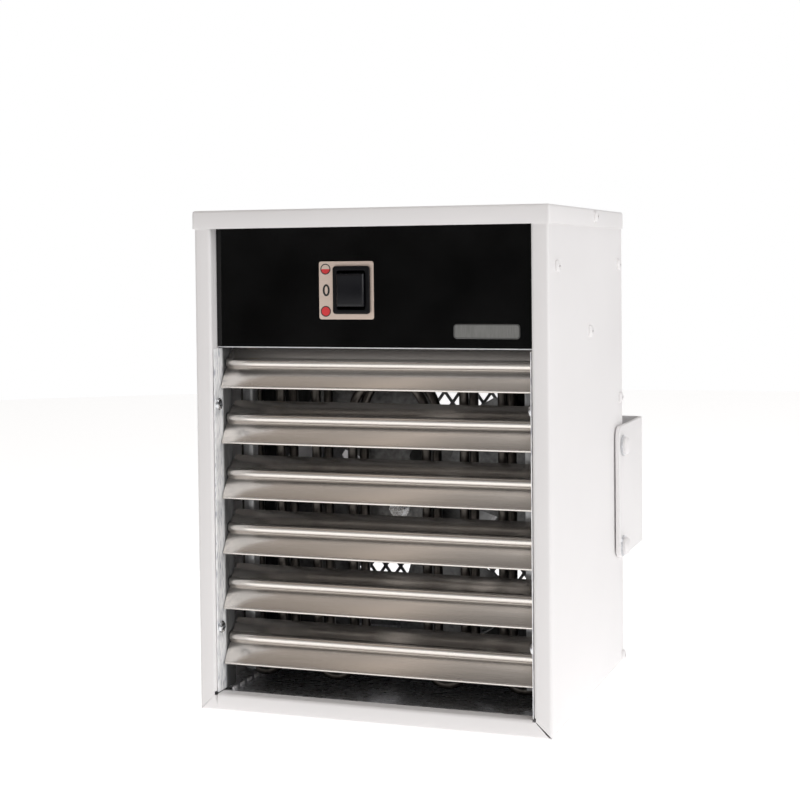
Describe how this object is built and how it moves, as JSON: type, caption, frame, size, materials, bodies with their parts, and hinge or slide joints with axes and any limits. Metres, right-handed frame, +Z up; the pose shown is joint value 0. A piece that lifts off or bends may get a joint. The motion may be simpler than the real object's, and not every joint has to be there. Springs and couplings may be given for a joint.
{
  "type": "wall mounted fan heater",
  "caption": "White box fan heater with turning louvre blades, serpentine heating elements, an axial fan behind them, a rocker switch and a tilting U-shaped wall bracket.",
  "frame": {"origin": "middle of the whole footprint, bracket included, in the plane of the base", "axes": "+Z up, +Y from the air outlet back towards the wall, +X to the right as seen from the front"},
  "size_m": [0.2582, 0.278, 0.33],
  "materials": {
    "white_paint": "semi-gloss white powder coat",
    "galvanised": "bright galvanised steel sheet",
    "floor_steel": "dark steel sheet, half bright",
    "guard_mesh": "flattened expanded steel mesh",
    "black_gloss": "deep black, glossy",
    "switch_print": "champagne satin with printed symbols",
    "plate_silver": "satin silver, bare",
    "black_matte": "fine satin black",
    "rocker_black": "satin black",
    "blade_aluminium": "champagne satin anodised",
    "bush_plastic": "dark moulded plastic",
    "zinc_steel": "zinc plated steel",
    "element_sheath": "steel tube, tinted by heat",
    "brass": "plain brass",
    "ceramic": "white ceramic",
    "fan_aluminium": "bare pressed aluminium",
    "motor_case": "dark pressed steel",
    "rubber": "black rubber",
    "phenolic": "brown moulding"
  },
  "bodies": {
    "casing": {"casing_wrap": "white_paint", "top_cover": "white_paint", "rear_cover": "white_paint", "rear_guard": "galvanised", "rear_mesh": "guard_mesh", "control_panel": "galvanised", "fascia": "black_gloss", "switch_plate": "switch_print", "name_plate": "plate_silver", "switch_housing": "black_matte", "switch_tabs": "zinc_steel", "cheek_left": "galvanised", "cheek_right": "galvanised", "louvre_bushes": "bush_plastic", "louvre_pins": "zinc_steel", "cheek_screws": "zinc_steel", "side_screws": "white_paint", "cover_screws": "white_paint", "partition_plate": "galvanised", "wire_bush": "rubber", "floor_plate": "floor_steel", "support_left": "galvanised", "support_right": "galvanised", "element_front": "element_sheath", "element_rear": "element_sheath", "element_ferrules": "brass", "element_insulators": "ceramic", "element_terminals": "zinc_steel", "fan_shroud": "galvanised", "fan_motor": "motor_case", "motor_mount": "galvanised", "motor_screws": "zinc_steel", "mount_screws": "zinc_steel", "thermal_cutout": "phenolic", "terminal_block": "ceramic", "terminal_screws": "zinc_steel", "gland_body": "bush_plastic", "gland_nut": "bush_plastic", "gland_locknut": "bush_plastic", "pivot_bolts": "white_paint", "pivot_washers": "zinc_steel", "pivot_spacers": "zinc_steel", "pivot_inserts": "zinc_steel"},
    "rocker": {"rocker": "rocker_black"},
    "louvre_1": {"louvre_1": "blade_aluminium"},
    "louvre_2": {"louvre_2": "blade_aluminium"},
    "louvre_3": {"louvre_3": "blade_aluminium"},
    "louvre_4": {"louvre_4": "blade_aluminium"},
    "louvre_5": {"louvre_5": "blade_aluminium"},
    "louvre_6": {"louvre_6": "blade_aluminium"},
    "fan": {"fan_rotor": "fan_aluminium", "motor_shaft": "zinc_steel", "shaft_nut": "zinc_steel"},
    "bracket": {"wall_bracket": "white_paint", "lock_bolts": "white_paint", "lock_washers": "zinc_steel", "lock_spacers": "zinc_steel", "lock_nuts": "zinc_steel"}
  },
  "joints": [
    {"name": "rocker_tilt", "type": "hinge", "parent": "casing", "child": "rocker", "pos_m": [-0.0122, -0.1256, 0.2776], "axis": [1, 0, 0], "range_deg": [-10, 10]},
    {"name": "fan_spin", "type": "hinge", "parent": "casing", "child": "fan", "pos_m": [0, -0.0518, 0.1302], "axis": [0, -1, 0], "continuous": true},
    {"name": "louvre_1_tilt", "type": "hinge", "parent": "casing", "child": "louvre_1", "pos_m": [0, -0.1166, 0.2292], "axis": [1, 0, 0], "range_deg": [-50, 30]},
    {"name": "louvre_2_tilt", "type": "hinge", "parent": "casing", "child": "louvre_2", "pos_m": [0, -0.1166, 0.1924], "axis": [1, 0, 0], "range_deg": [-50, 30]},
    {"name": "louvre_3_tilt", "type": "hinge", "parent": "casing", "child": "louvre_3", "pos_m": [0, -0.1166, 0.1556], "axis": [1, 0, 0], "range_deg": [-50, 30]},
    {"name": "louvre_4_tilt", "type": "hinge", "parent": "casing", "child": "louvre_4", "pos_m": [0, -0.1166, 0.1188], "axis": [1, 0, 0], "range_deg": [-50, 30]},
    {"name": "louvre_5_tilt", "type": "hinge", "parent": "casing", "child": "louvre_5", "pos_m": [0, -0.1166, 0.082], "axis": [1, 0, 0], "range_deg": [-50, 30]},
    {"name": "louvre_6_tilt", "type": "hinge", "parent": "casing", "child": "louvre_6", "pos_m": [0, -0.1166, 0.0452], "axis": [1, 0, 0], "range_deg": [-50, 30]},
    {"name": "bracket_tilt", "type": "hinge", "parent": "casing", "child": "bracket", "pos_m": [0, 0.059, 0.161], "axis": [-1, 0, 0], "range_deg": [0, 6]}
  ]
}
